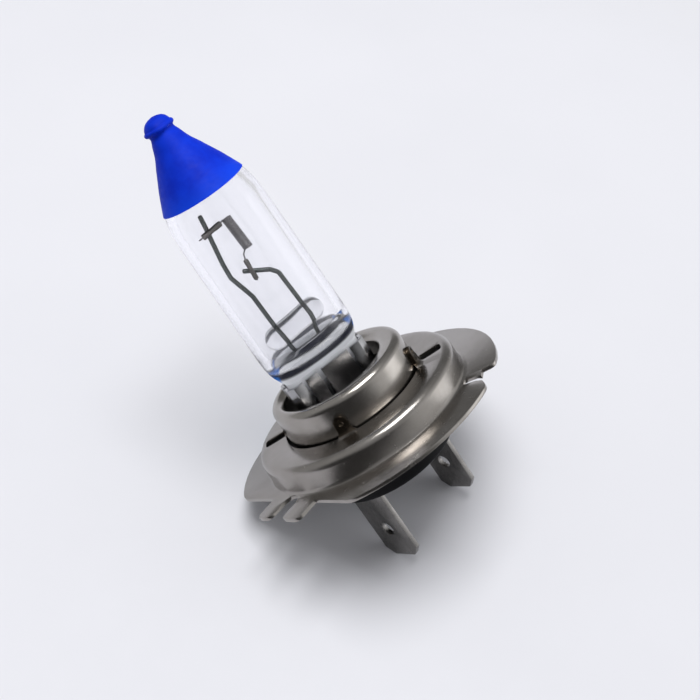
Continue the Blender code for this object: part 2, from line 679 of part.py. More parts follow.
burner.append(glass_envelope(QUARTZ, channels))
burner.append(tip_coating(BLUE))
burner.append(wire("filament", coil_path(), COIL_WIRE, TUNGSTEN, 1))
burner.append(sleeve("upper_filament_sleeve", UPPER_SLEEVE, UPPER_SLEEVE_R, SLEEVE, LONG_POST))
burner.append(sleeve("lower_filament_sleeve", LOWER_SLEEVE, LOWER_SLEEVE_R, SLEEVE, SHORT_POST))
burner.append(glass_bridge(QUARTZ))
burner.append(clip_half("pinch_clip_front", -1, STAINLESS))
burner.append(clip_half("pinch_clip_rear", 1, STAINLESS))

focus_collar(COLLAR)
base_shell(NICKEL)
insulator(BLACK)
blade("terminal_blade_left", 1, BRASS)
blade("terminal_blade_right", -1, BRASS)

# The burner's pieces and their cutters were drawn on its own axes: turn and shift them all together.
for obj in burner:
    obj.matrix_world = BURNER @ obj.matrix_world
    for modifier in obj.modifiers:
        if modifier.type == "BOOLEAN" and modifier.object:
            modifier.object.matrix_world = BURNER @ modifier.object.matrix_world
            for inner in modifier.object.modifiers:
                if inner.type == "BOOLEAN" and inner.object:
                    inner.object.matrix_world = BURNER @ inner.object.matrix_world

# Heights were drawn from the seating face: raise everything so that the boss's bottom face is at zero.
RAISE = Matrix.Translation((0, 0, -BOSS_BOTTOM * MM))
for obj in [*BULB.objects, *CUTTERS.objects]:
    obj.matrix_world = RAISE @ obj.matrix_world
bpy.context.view_layer.update()
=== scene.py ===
"""Looks of the headlight bulb on a pale table: smooth glass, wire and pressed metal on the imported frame."""

import math

import bmesh
import bpy
from mathutils import Matrix, Quaternion, Vector


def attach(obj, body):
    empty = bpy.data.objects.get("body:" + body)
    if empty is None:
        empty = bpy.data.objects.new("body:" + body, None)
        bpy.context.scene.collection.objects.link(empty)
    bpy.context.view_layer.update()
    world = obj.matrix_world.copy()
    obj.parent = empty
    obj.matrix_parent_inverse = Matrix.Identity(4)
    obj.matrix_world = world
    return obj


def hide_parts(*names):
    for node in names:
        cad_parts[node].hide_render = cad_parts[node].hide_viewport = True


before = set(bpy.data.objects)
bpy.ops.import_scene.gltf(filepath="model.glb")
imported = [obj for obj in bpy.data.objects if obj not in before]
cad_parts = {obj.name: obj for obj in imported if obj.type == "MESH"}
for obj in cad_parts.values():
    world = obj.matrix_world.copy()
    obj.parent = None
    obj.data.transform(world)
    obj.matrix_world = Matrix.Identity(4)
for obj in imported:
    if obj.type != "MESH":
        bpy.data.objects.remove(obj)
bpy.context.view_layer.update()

MM = 0.001
BODY = "root"
SEAT = 5.5  # height of the flange's seating face, mm: heights below are drawn from it
ROUND = 144  # segments round a large turned piece

# The camera looks down at the bulb as it lies on the table
CAMERA_PLACE = (67.3, 107.7, 51.05)
CAMERA_HEADING = -123.226
CAMERA_TILT = -18.889
CAMERA_ROLL = -34.27
LENS = 64.815

# Base, in mm
SHEET = 0.40
FLANGE_R = 16.0
COLLAR_R = 8.05
COLLAR_TOP = 6.9
COLLAR_HOLE_R = 6.05  # centred on the burner

# Burner, in mm: its glass stands a little off the lamp axis, so that the coil is on it
BURNER_AZ = 155.0
BURNER_OFF = 0.53
BURNER_OFF_AZ = 148.0
PAINT_EDGE = 30.4
LCL = 25.0
COIL_LENGTH = 3.9
COIL_R = 0.467
COIL_WIRE = 0.088
COIL_TURNS = 23
COIL_X = 0.48
COIL_LEAN = -0.05  # mm across for each mm up
POST_R = 0.25
POST_X = 1.66
UPPER_SLEEVE_R = 0.34
UPPER_SLEEVE_Y = -0.53
LOWER_SLEEVE_R = 0.27
LOWER_SLEEVE_Y = -0.47


# Small helpers


def piece(name, mesh, look, slot, *nodes):
    """A shown object that rides on the body and stands for some CAD nodes."""
    obj = bpy.data.objects.new(name, mesh)
    bpy.context.scene.collection.objects.link(obj)
    obj.data.materials.clear()
    obj.data.materials.append(look)
    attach(obj, BODY)
    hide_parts(*nodes)
    return obj


def arc(cx, cz, radius, start, end, count):
    angles = [math.radians(start + (end - start) * i / count) for i in range(count + 1)]
    return [(cx + radius * math.cos(a), cz + radius * math.sin(a)) for a in angles]


def polar(radius, degrees, z=0.0):
    angle = math.radians(degrees)
    return Vector((radius * math.cos(angle), radius * math.sin(angle), z))


def curve_point(p, q, r, s, t):
    """A point of the Catmull-Rom curve, t of the way from q to r."""
    linear, square, cube = r - p, 2 * p - 5 * q + 4 * r - s, 3 * q - p - 3 * r + s
    return 0.5 * (2 * q + linear * t + square * t * t + cube * t**3)


def smooth(values, count):
    """A smooth curve through rows of numbers (Catmull-Rom), with count steps from each row to the next."""
    rows = [values[0], *values, values[-1]]
    found = []
    for a, b, c, d in zip(rows, rows[1:], rows[2:], rows[3:]):
        for i in range(count):
            t = i / count
            found.append(tuple(curve_point(*column, t) for column in zip(a, b, c, d)))
    found.append(tuple(values[-1]))
    return found


def lathe_mesh(name, profile):
    """A closed section of (radius, height) in mm, clear of the axis, turned round the lamp axis."""
    bm = bmesh.new()
    rows = []
    for i in range(ROUND):
        turn = 2 * math.pi * i / ROUND
        c, s = math.cos(turn), math.sin(turn)
        rows.append([bm.verts.new((r * c * MM, r * s * MM, (z + SEAT) * MM)) for r, z in profile])
    for i, row in enumerate(rows):
        after = rows[(i + 1) % ROUND]
        for j in range(len(profile)):
            k = (j + 1) % len(profile)
            bm.faces.new((row[j], after[j], after[k], row[k]))
    return finished(name, bm)


def ring(half_x, half_y, z, count=ROUND, power=2.0, wobble=None):
    """A section across the axis: an ellipse, squarer with a higher power, its size varied by wobble."""
    points = []
    for i in range(count):
        angle = 2 * math.pi * (i + 0.5) / count
        c, s = math.cos(angle), math.sin(angle)
        x = math.copysign(abs(c) ** (2 / power), c) * half_x
        y = math.copysign(abs(s) ** (2 / power), s) * half_y
        grow = 1.0 if wobble is None else wobble(angle, z)
        points.append(Vector((x * grow, y * grow, z)))
    return points


def loft(bm, rings, top=None, bottom=None):
    """Skins a stack of sections in mm, closed by a point or by a flat face at either end."""
    rows = [[bm.verts.new(p * MM) for p in points] for points in rings]
    for upper, lower in zip(rows, rows[1:]):
        for i in range(len(upper)):
            j = (i + 1) % len(upper)
            bm.faces.new((upper[i], lower[i], lower[j], upper[j]))
    for row, tip in ((rows[0], top), (rows[-1], bottom)):
        if tip is None:
            bm.faces.new(row)
            continue
        point = bm.verts.new((0, 0, tip * MM))
        for i in range(len(row)):
            bm.faces.new((row[i], row[(i + 1) % len(row)], point))


def finished(name, bm, sharp=32.0, matrix=None):
    """Turns a bmesh into a smooth mesh with its hard edges kept."""
    bmesh.ops.recalc_face_normals(bm, faces=bm.faces)
    if matrix is not None:
        bmesh.ops.transform(bm, matrix=matrix, verts=bm.verts)
    for face in bm.faces:
        face.smooth = True
    for edge in bm.edges:
        edge.smooth = len(edge.link_faces) != 2 or edge.calc_face_angle(0) < math.radians(sharp)
    mesh = bpy.data.meshes.new(name)
    bm.to_mesh(mesh)
    bm.free()
    return mesh


def tube(bm, path, radius, sides=20):
    """A round wire along a path in mm with rounded ends, by parallel transport so that it never twists."""
    path = [Vector(p) for p in path]
    tangent = (path[1] - path[0]).normalized()
    across = tangent.orthogonal().normalized()
    stations = []
    for i, here in enumerate(path):
        before, after = path[max(i - 1, 0)], path[min(i + 1, len(path) - 1)]
        along = (after - before).normalized()
        across = (across - along * across.dot(along)).normalized()
        stations.append((here, along, across.copy(), radius))
    ends = []
    for (here, along, side, r), way in ((stations[0], -1), (stations[-1], 1)):
        end = []
        for t in (0.5, 0.85):
            end.append((here + along * way * r * 0.6 * t, along, side, r * math.sqrt(1 - t * t)))
        ends.append(end)
    stations = list(reversed(ends[0])) + stations + ends[1]
    rows = []
    for here, along, side, r in stations:
        other = along.cross(side)
        rows.append([
            bm.verts.new((here + (side * math.cos(a) + other * math.sin(a)) * r) * MM)
            for a in (2 * math.pi * k / sides for k in range(sides))
        ])  # fmt: skip
    for lower, upper in zip(rows, rows[1:]):
        for k in range(sides):
            j = (k + 1) % sides
            bm.faces.new((lower[k], lower[j], upper[j], upper[k]))
    bm.faces.new(list(reversed(rows[0])))
    bm.faces.new(rows[-1])


def bend(points, radius, count=8):
    """A path with each inner corner replaced by an arc of about this radius."""
    points = [Vector(p) for p in points]
    path = [points[0]]
    for before, here, after in zip(points, points[1:], points[2:]):
        first, second = (before - here).normalized(), (after - here).normalized()
        half = first.angle(second) / 2
        room = 0.45 * min((before - here).length, (after - here).length)
        reach = min(radius / math.tan(half), room)
        start, end = here + first * reach, here + second * reach
        for i in range(count + 1):
            t = i / count
            path.append(start.lerp(here, t).lerp(here.lerp(end, t), t))
    path.append(points[-1])
    return path


BURNER = (
    Matrix.Translation((polar(-BURNER_OFF, BURNER_OFF_AZ) + Vector((0, 0, SEAT))) * MM)
    @ Matrix.Rotation(math.radians(BURNER_AZ), 4, "Z")
)


# Materials


class Look:
    """A material, or the world, under construction, with coordinates in millimetres."""

    def __init__(self, name, world=False):
        self.material = (bpy.data.worlds if world else bpy.data.materials).new(name)
        self.material.use_nodes = True
        self.nodes = self.material.node_tree.nodes
        self.links = self.material.node_tree.links
        self.nodes.clear()
        self.out = self.nodes.new("ShaderNodeOutputWorld" if world else "ShaderNodeOutputMaterial")
        self.place = self.nodes.new("ShaderNodeTexCoord")
        scale = self.nodes.new("ShaderNodeVectorMath")
        scale.operation = "SCALE"
        scale.inputs["Scale"].default_value = 1 / MM
        self.links.new(self.place.outputs["Object"], scale.inputs[0])
        self.mm = scale.outputs[0]

    def stored(self, name):
        """A number kept on the mesh's points."""
        node = self.nodes.new("ShaderNodeAttribute")
        node.attribute_name = name
        return node.outputs["Fac"]

    def height_and_radius(self):
        """Height above the origin and distance from the lamp axis, in mm."""
        parts = self.nodes.new("ShaderNodeSeparateXYZ")
        self.links.new(self.mm, parts.inputs[0])
        flat = self.nodes.new("ShaderNodeVectorMath")
        flat.operation = "LENGTH"
        self.links.new(self.stretched((1, 1, 0)), flat.inputs[0])
        return parts.outputs["Z"], flat.outputs["Value"]

    def stretched(self, factors):
        node = self.nodes.new("ShaderNodeVectorMath")
        node.operation = "MULTIPLY"
        node.inputs[1].default_value = factors
        self.links.new(self.mm, node.inputs[0])
        return node.outputs[0]

    def noise(self, scale, detail=4.0, rough=0.55, where=None):
        node = self.nodes.new("ShaderNodeTexNoise")
        node.inputs["Scale"].default_value = scale
        node.inputs["Detail"].default_value = detail
        node.inputs["Roughness"].default_value = rough
        self.links.new(where or self.mm, node.inputs["Vector"])
        return node.outputs["Fac"]

    def spread(self, value, low, high, start=0.3, end=0.7):
        """value between start and end, turned smoothly into low to high."""
        node = self.nodes.new("ShaderNodeMapRange")
        node.interpolation_type = "SMOOTHSTEP"
        for name, number in (("From Min", start), ("From Max", end), ("To Min", low), ("To Max", high)):
            node.inputs[name].default_value = number
        self.links.new(value, node.inputs["Value"])
        return node.outputs["Result"]

    def mix_colour(self, factor, first, second):
        node = self.nodes.new("ShaderNodeMix")
        node.data_type = "RGBA"
        self.links.new(factor, node.inputs["Factor"])
        for socket, value in ((node.inputs[6], first), (node.inputs[7], second)):
            if isinstance(value, tuple):
                socket.default_value = (*value, 1.0)
            else:
                self.links.new(value, socket)
        return node.outputs[2]

    def math(self, how, first, second):
        node = self.nodes.new("ShaderNodeMath")
        node.operation = how
        for socket, value in zip(node.inputs, (first, second)):
            if isinstance(value, (int, float)):
                socket.default_value = value
            else:
                self.links.new(value, socket)
        return node.outputs[0]

    def bump(self, height, strength, depth_mm):
        node = self.nodes.new("ShaderNodeBump")
        node.inputs["Strength"].default_value = strength
        node.inputs["Distance"].default_value = depth_mm * MM
        self.links.new(height, node.inputs["Height"])
        return node.outputs["Normal"]

    def principled(self, colour, roughness, normal=None, **values):
        node = self.nodes.new("ShaderNodeBsdfPrincipled")
        self.links.new(colour, node.inputs["Base Color"])
        self.links.new(roughness, node.inputs["Roughness"])
        if normal is not None:
            self.links.new(normal, node.inputs["Normal"])
        for name, value in values.items():
            node.inputs[name.replace("_", " ")].default_value = value
        return node.outputs["BSDF"]

    def done(self, surface):
        self.links.new(surface, self.out.inputs["Surface"])
        return self.material


def metal(name, light, dark, rough, grain=0.5, stretch=(1, 1, 1), depth=0.01, burnt=False):
    """Bare metal: cloudy tint, drawn or pressed grain, small dull spots. Burnt: brown on the weld tongues."""
    look = Look(name)
    cloud = look.spread(look.noise(0.35, 5), 0, 1)
    colour = look.mix_colour(cloud, light, dark)
    if burnt:
        height, radius = look.height_and_radius()
        raised = look.spread(height, 0, 1, SEAT + 3.04, SEAT + 3.3)
        scorched = look.math("MULTIPLY", raised, look.spread(radius, 1, 0, 9.0, 9.5))
        colour = look.mix_colour(scorched, colour, (0.075, 0.06, 0.045))
    fine = look.noise(7.0, 6, 0.6, look.stretched(stretch))
    spots = look.spread(look.noise(1.1, 8, 0.65), 0, 1, 0.52, 0.8)
    rougher = look.spread(fine, rough * (1 - grain * 0.5), rough * (1 + grain * 0.5))
    rougher = look.math("ADD", rougher, look.math("MULTIPLY", spots, 0.07))
    normal = look.bump(fine, 0.35, depth)
    return look.done(look.principled(colour, rougher, normal, Metallic=1.0))


def soft_glass(look, colour):
    """Diffuse and translucent glass, seen from either side: pressed glass that scatters light, and also the
    painted shade and painted blue light on the tube.
    """
    front = look.nodes.new("ShaderNodeBsdfDiffuse")
    back = look.nodes.new("ShaderNodeBsdfTranslucent")
    mix = look.nodes.new("ShaderNodeMixShader")
    mix.inputs[0].default_value = 0.5
    for node, socket in ((front, mix.inputs[1]), (back, mix.inputs[2])):
        node.inputs["Color"].default_value = (*colour, 1)
        look.links.new(node.outputs[0], socket)
    return mix.outputs[0]


def over(look, share, under, top):
    """One shader laid over another by a share from 0 to 1."""
    mix = look.nodes.new("ShaderNodeMixShader")
    look.links.new(share, mix.inputs[0])
    look.links.new(under, mix.inputs[1])
    look.links.new(top, mix.inputs[2])
    return mix.outputs[0]


def quartz(name, streak=0.02):
    """Clear quartz with faint draw lines, and the marks that mark_glass puts on its points.

    They are milky glass where it was pressed, partly the glass's own frosting and partly painted light; a
    ring of painted shade where its wall turns in; and beside the ring, patches of painted blue light, the
    paint's blue as if carried down the wall. All three are painted in, not traced. Light that only casts a
    shadow passes straight through.
    """
    look = Look(name)
    lines = look.noise(1.1, 3, 0.5, look.stretched((1, 1, 0.06)))
    glass = look.nodes.new("ShaderNodeBsdfGlass")
    glass.inputs["IOR"].default_value = 1.46
    look.links.new(look.spread(look.noise(2.5, 4), 0.0, streak), glass.inputs["Roughness"])
    look.links.new(look.mix_colour(look.spread(lines, 0, 1), (0.948, 0.948, 0.953), (0.932, 0.933, 0.938)),
                   glass.inputs["Color"])  # fmt: skip
    look.links.new(look.bump(lines, 0.004, 0.0005), glass.inputs["Normal"])
    # milky where pressed: partly the glass's own frosting, partly painted light where light gathers through
    # the glass
    milky = over(look, look.stored("pressed"), glass.outputs[0], soft_glass(look, (0.9, 0.9, 0.92)))
    # painted shade: a dark ring where the wall turns in, and a greyed floor in the hollow
    shade_ringed = over(look, look.stored("shaded"), milky, soft_glass(look, (0.035, 0.036, 0.05)))
    # painted light: blue patches where the wall would carry the paint's blue down to its foot
    blue_lit = over(look, look.stored("piped_blue_light"), shade_ringed, soft_glass(look, (0.03, 0.2, 0.7)))
    clear = look.nodes.new("ShaderNodeBsdfTransparent")
    clear.inputs["Color"].default_value = (0.93, 0.94, 0.95, 1)
    ray = look.nodes.new("ShaderNodeLightPath")
    passing = look.math("MAXIMUM", ray.outputs["Is Shadow Ray"], ray.outputs["Is Diffuse Ray"])
    return look.done(over(look, passing, blue_lit, clear.outputs[0]))


def paint(name):
    """Brushed-on blue paint: satin, thin at its lower edge, a little uneven, with fine ripples."""
    look = Look(name)
    cloud = look.spread(look.noise(0.5, 4), 0, 1)
    thick = look.mix_colour(cloud, (0.001, 0.022, 0.5), (0.002, 0.034, 0.62))
    height, _ = look.height_and_radius()
    thin = look.spread(height, 1, 0, SEAT + PAINT_EDGE, SEAT + PAINT_EDGE + 2.2)
    colour = look.mix_colour(look.math("MULTIPLY", thin, 0.45), thick, (0.006, 0.075, 0.85))
    ripple = look.noise(1.6, 5, 0.6, look.stretched((1, 1, 1.8)))
    rough = look.spread(ripple, 0.5, 0.64)
    normal = look.bump(ripple, 0.3, 0.04)
    return look.done(look.principled(colour, rough, normal, Specular_IOR_Level=0.1))


def moulded(name):
    """The black insulator: fine moulding texture with a few dusty patches."""
    look = Look(name)
    dust = look.spread(look.noise(0.8, 7, 0.65), 0, 1, 0.5, 0.72)
    colour = look.mix_colour(dust, (0.003, 0.003, 0.004), (0.007, 0.007, 0.008))
    fine = look.noise(9.0, 5, 0.6)
    rough = look.spread(fine, 0.5, 0.68)
    normal = look.bump(fine, 0.4, 0.02)
    return look.done(look.principled(colour, rough, normal, Specular_IOR_Level=0.14))


def table_top(name, near, far):
    """A pale matt table that ends softly and can only be seen from above."""
    look = Look(name)
    cloud = look.spread(look.noise(0.02, 3), 0, 1)
    colour = look.mix_colour(cloud, (0.712, 0.715, 0.758), (0.732, 0.735, 0.778))
    rough = look.spread(look.noise(0.4, 3), 0.6, 0.75)
    solid = look.principled(colour, rough, Specular_IOR_Level=0.2)
    clear = look.nodes.new("ShaderNodeBsdfTransparent")
    geometry = look.nodes.new("ShaderNodeNewGeometry")
    length = look.nodes.new("ShaderNodeVectorMath")
    length.operation = "LENGTH"
    look.links.new(look.mm, length.inputs[0])
    faded = look.spread(length.outputs["Value"], 0, 1, near, far)
    hidden = look.math("MAXIMUM", geometry.outputs["Backfacing"], faded)
    mix = look.nodes.new("ShaderNodeMixShader")
    look.links.new(hidden, mix.inputs[0])
    look.links.new(solid, mix.inputs[1])
    look.links.new(clear.outputs[0], mix.inputs[2])
    return look.done(mix.outputs[0])


QUARTZ = quartz("clear_quartz")
ROD_QUARTZ = quartz("clear_quartz_rod", 0.04)
BLUE = paint("blue_tip_paint")
TUNGSTEN = metal("tungsten_wire", (0.3, 0.29, 0.3), (0.2, 0.195, 0.2), 0.3)
MOLYBDENUM = metal(
    "molybdenum_wire", (0.11, 0.12, 0.118), (0.065, 0.072, 0.07), 0.34, stretch=(1, 1, 0.15)
)  # fmt: skip
SLEEVE = metal("crimped_sleeve", (0.2, 0.185, 0.18), (0.12, 0.115, 0.11), 0.42)
STAINLESS = metal(
    "stainless_clip_sheet", (0.4, 0.4, 0.41), (0.28, 0.28, 0.29), 0.2,
    grain=0.3, stretch=(0.4, 0.4, 3), depth=0.004,
)  # fmt: skip
NICKEL = metal(
    "satin_nickel_shell", (0.335, 0.316, 0.299), (0.285, 0.267, 0.248), 0.235,
    grain=0.15, depth=0.0008, burnt=True,
)  # fmt: skip
COLLAR = metal(
    "satin_nickel_collar", (0.355, 0.335, 0.313), (0.305, 0.285, 0.262), 0.22,
    grain=0.15, depth=0.0008,
)  # fmt: skip
BLACK = moulded("moulded_black")
BLADE = metal(
    "tinned_blade_sheet", (0.26, 0.25, 0.242), (0.19, 0.183, 0.176), 0.3,
    stretch=(1, 2.5, 0.3), depth=0.006,
)  # fmt: skip


# Burner: glass, paint, coil and posts


TIP = [
    (0.5, 39.15), (0.88, 39.0), (1.16, 38.78), (1.36, 38.5), (1.47, 38.24), (1.6, 38.14), (1.67, 37.98),
    (1.61, 37.8), (1.43, 37.66), (1.37, 37.48), (1.45, 37.2), (1.68, 36.7), (2.08, 35.7), (2.62, 34.75),
    (3.18, 33.7), (3.72, 32.7), (4.22, 31.65), (4.68, 30.65),
]  # fmt: skip


def ramp(value, start, end):
    """0 at start, 1 at end, smooth between."""
    t = max(0.0, min(1.0, (value - start) / (end - start)))
    return t * t * (3 - 2 * t)


def band(value, start, full, fade, end):
    """1 from full to fade, down to 0 at start and at end."""
    return ramp(value, start, full) * ramp(value, end, fade)


# Heights of the bands on the foot of the tube (milky with painted light, painted shade, painted blue light),
# and how far across the blue patches start, in mm
PRESSED_AND_LIT_BAND = (8.3, 8.45, 9.75, 9.9)
PAINTED_SHADE_BAND = (9.95, 10.1, 10.75, 10.95)
PAINTED_BLUE_LIGHT_BAND = (9.0, 9.3, 10.2, 10.7)
PAINTED_BLUE_LIGHT_ACROSS = (4.7, 4.9)


def mark_glass(bm, outside):
    """Marks the foot of the tube: outside, a milky band partly whitened with painted light, a ring of painted
    shade and patches of painted blue light; inside, painted shade greying the floor of the hollow.

    outside is the number of points on the outer skin, which come first.
    """
    pressed = bm.verts.layers.float.new("pressed")
    shaded = bm.verts.layers.float.new("shaded")
    piped_blue_light = bm.verts.layers.float.new("piped_blue_light")
    bm.verts.ensure_lookup_table()
    for i, vertex in enumerate(bm.verts):
        x, z = abs(vertex.co.x) / MM, vertex.co.z / MM
        if i >= outside:
            # painted shade, with a little painted light, greying the floor of the hollow
            vertex[pressed] = 0.2 * ramp(z, 10.9, 10.3)
            vertex[shaded] = 0.45 * ramp(z, 11.0, 10.4)
            continue
        # milky band: pressed glass, whitened further with painted light
        vertex[pressed] = 0.92 * band(z, *PRESSED_AND_LIT_BAND)
        # painted shade: the dark ring where the wall turns in
        vertex[shaded] = 0.92 * band(z, *PAINTED_SHADE_BAND)
        # painted light: the paint's blue as if carried down the wall
        vertex[piped_blue_light] = 0.8 * band(z, *PAINTED_BLUE_LIGHT_BAND) * ramp(x, *PAINTED_BLUE_LIGHT_ACROSS)


def glass_envelope():
    under = 0.11  # the paint's thickness and its gap
    tip = [(r - under, r - under, z - under * (0.9 if z > 38.4 else 0.35), 2) for r, z in TIP]
    wall = [
        (4.9, 4.9, 29.6, 2), (5.12, 5.12, 28.7, 2), (5.2, 5.2, 27.6, 2), (5.25, 5.25, 25.5, 2),
        (5.36, 5.36, 18.0, 2), (5.44, 5.44, 13.2, 2), (5.44, 5.34, 12.0, 2), (5.38, 4.9, 11.0, 2.1),
        (5.16, 4.0, 10.1, 2.3), (4.86, 3.0, 9.4, 2.7), (4.6, 2.1, 8.85, 3.4), (4.5, 1.6, 8.4, 5),
        (4.5, 1.6, 1.6, 5),
    ]  # fmt: skip
    hollow = [
        (0.7, 0.7, 34.6, 2), (1.5, 1.5, 33.9, 2), (2.4, 2.4, 32.7, 2), (3.3, 3.3, 31.2, 2),
        (3.85, 3.85, 29.9, 2), (4.22, 4.22, 28.5, 2), (4.38, 4.38, 26.5, 2), (4.5, 4.5, 18.0, 2),
        (4.58, 4.58, 13.4, 2), (4.55, 4.2, 12.2, 2), (4.48, 3.3, 11.2, 2), (4.3, 2.1, 10.4, 2),
        (3.9, 1.0, 9.95, 2),
    ]  # fmt: skip
    bm = bmesh.new()
    loft(bm, [ring(x, y, z, ROUND, p) for x, y, z, p in smooth(tip + wall, 3)], top=39.0)
    bmesh.ops.recalc_face_normals(bm, faces=bm.faces)
    inner = bmesh.new()
    loft(inner, [ring(x, y, z, ROUND, p) for x, y, z, p in smooth(hollow, 3)], top=34.85, bottom=9.85)
    bmesh.ops.recalc_face_normals(inner, faces=inner.faces)
    bmesh.ops.reverse_faces(inner, faces=inner.faces)
    outside = len(bm.verts)
    hollow_mesh = bpy.data.meshes.new("hollow")
    inner.to_mesh(hollow_mesh)
    inner.free()
    bm.from_mesh(hollow_mesh)
    bpy.data.meshes.remove(hollow_mesh)
    mark_glass(bm, outside)
    for face in bm.faces:
        face.smooth = True
    for edge in bm.edges:
        edge.smooth = edge.calc_face_angle(0) < math.radians(50)
    bmesh.ops.transform(bm, matrix=BURNER, verts=bm.verts)
    mesh = bpy.data.meshes.new("glass_tube")
    bm.to_mesh(mesh)
    bm.free()
    return piece("glass_tube", mesh, QUARTZ, "quartz_glass", "glass_envelope")


def tip_wobble(angle, z):
    """The nub is a melted blob, so its lip and groove aren't quite round."""
    share = max(0.0, min(1.0, (z - 36.4) / 1.4))
    return 1 + share * (0.035 * math.sin(2 * angle + 0.7) + 0.018 * math.sin(5 * angle + 2.1 * z))


def tip_paint():
    under = 0.095
    outer = smooth([(r, z) for r, z in TIP] + [(4.79, PAINT_EDGE)], 4)
    inner = smooth([(r - under, z - under * (0.8 if z > 38.4 else 0.25)) for r, z in TIP], 4)
    inner += [(4.79 - under, PAINT_EDGE)]
    bm = bmesh.new()
    loft(bm, [ring(r, r, z, ROUND, 2, tip_wobble) for r, z in outer], top=39.24)
    last = [f for f in bm.faces if len(f.verts) > 4]
    bmesh.ops.delete(bm, geom=last, context="FACES")
    skin = bmesh.new()
    loft(skin, [ring(r, r, z, ROUND, 2, tip_wobble) for r, z in inner], top=39.24 - under)
    bmesh.ops.delete(skin, geom=[f for f in skin.faces if len(f.verts) > 4], context="FACES")
    inside = bpy.data.meshes.new("inside")
    skin.to_mesh(inside)
    skin.free()
    bm.from_mesh(inside)
    bpy.data.meshes.remove(inside)
    rims = [e for e in bm.edges if len(e.link_faces) == 1]
    bmesh.ops.bridge_loops(bm, edges=rims)
    return piece("tip_paint", finished("tip_paint", bm, 45, BURNER), BLUE, "blue_paint", "tip_coating")


LONG_POST = [
    (-1.72, 0, 28.4), (-1.97, 0, 26.8), (-2.15, 0, 25.8), (-2.58, 0, 23.2), (-2.72, 0, 21.5),
    (-2.38, 0, 20.2), (-1.96, 0, 18.6), (-1.92, 0, 16.6), (-1.86, 0, 14.6), (-POST_X, 0, 12.2),
    (-POST_X, 0, 7.3),
]  # fmt: skip
SHORT_POST = [
    (-1.24, 0, 21.3), (1.12, 0, 19.84), (1.7, 0, 19.1), (1.96, 0, 13.6), (POST_X, 0, 11.6), (POST_X, 0, 7.3),
]  # fmt: skip
UPPER_SLEEVE = ((-2.75, UPPER_SLEEVE_Y, 26.7), (-0.4, UPPER_SLEEVE_Y, 26.9))
LOWER_SLEEVE = ((-0.48, LOWER_SLEEVE_Y, 22.3), (-0.63, LOWER_SLEEVE_Y, 19.95))


def wire(name, path, radius, look, slot, node, sides=24):
    bm = bmesh.new()
    tube(bm, path, radius, sides)
    return piece(name, finished(name, bm, 60, BURNER), look, slot, node)


def coil_path():
    """Tail, through the upper sleeve, round the coil, through the lower sleeve, tail."""
    top, bottom = LCL + COIL_LENGTH / 2, LCL - COIL_LENGTH / 2
    path = [(-3.15, UPPER_SLEEVE_Y, 26.67), UPPER_SLEEVE[0], UPPER_SLEEVE[1], (-0.25, -0.42, 26.93)]
    steps = 32
    for i in range(COIL_TURNS * steps + 1):
        turn = i / steps
        angle = math.pi + 2 * math.pi * turn
        z = top + (bottom - top) * turn / COIL_TURNS
        x = COIL_X + COIL_LEAN * (z - LCL) + COIL_R * math.cos(angle)
        path.append((x, COIL_R * math.sin(angle), z))
    return path + [(-0.25, -0.3, 22.85), LOWER_SLEEVE[0], LOWER_SLEEVE[1], (-0.64, LOWER_SLEEVE_Y, 19.85)]


def sleeve(name, ends, radius, node):
    """A rolled tube with a crimp pressed into its middle."""
    a, b = Vector(ends[0]), Vector(ends[1])
    along = (b - a).normalized()
    turn = (b - a).to_track_quat("Z", "X").to_matrix().to_4x4()
    length = (b - a).length
    rings = []
    for i in range(25):
        t = i / 24
        edge = min(t, 1 - t) * length
        pinch = 1 - 0.16 * math.exp(-(((t - 0.5) / 0.16) ** 2))
        close = math.sqrt(max(0.0, 1 - max(0.0, 1 - edge / 0.08) ** 2)) * 0.18 + 0.82
        rings.append(ring(radius * pinch * close, radius * close / pinch ** 0.4, length * (1 - t), 36))
    bm = bmesh.new()
    loft(bm, rings)
    place = BURNER @ Matrix.Translation(a * MM) @ turn
    return piece(name, finished(name, bm, 40, place), SLEEVE, "molybdenum_sleeve", node)


def glass_bridge():
    """The rod of melted glass that holds both posts apart."""
    half, radius = 3.7, 1.32
    cap = arc(0, half - radius, radius, 88, 0, 14)
    rows = cap + [(radius * 0.975, 1.0), (radius * 0.965, 0), (radius * 0.975, -1.0)]
    rows += [(r, -z) for r, z in reversed(cap)]
    bm = bmesh.new()
    loft(bm, [ring(r, r, z, 72) for r, z in rows], top=half, bottom=-half)
    lay = Matrix.Translation(Vector((0, 0, 13.57)) * MM) @ Matrix.Rotation(math.radians(86), 4, "Y")
    mesh = finished("bridge_rod", bm, 60, BURNER @ lay)
    return piece("bridge_rod", mesh, ROD_QUARTZ, "quartz_glass", "glass_bridge")


# Base: collar and shell


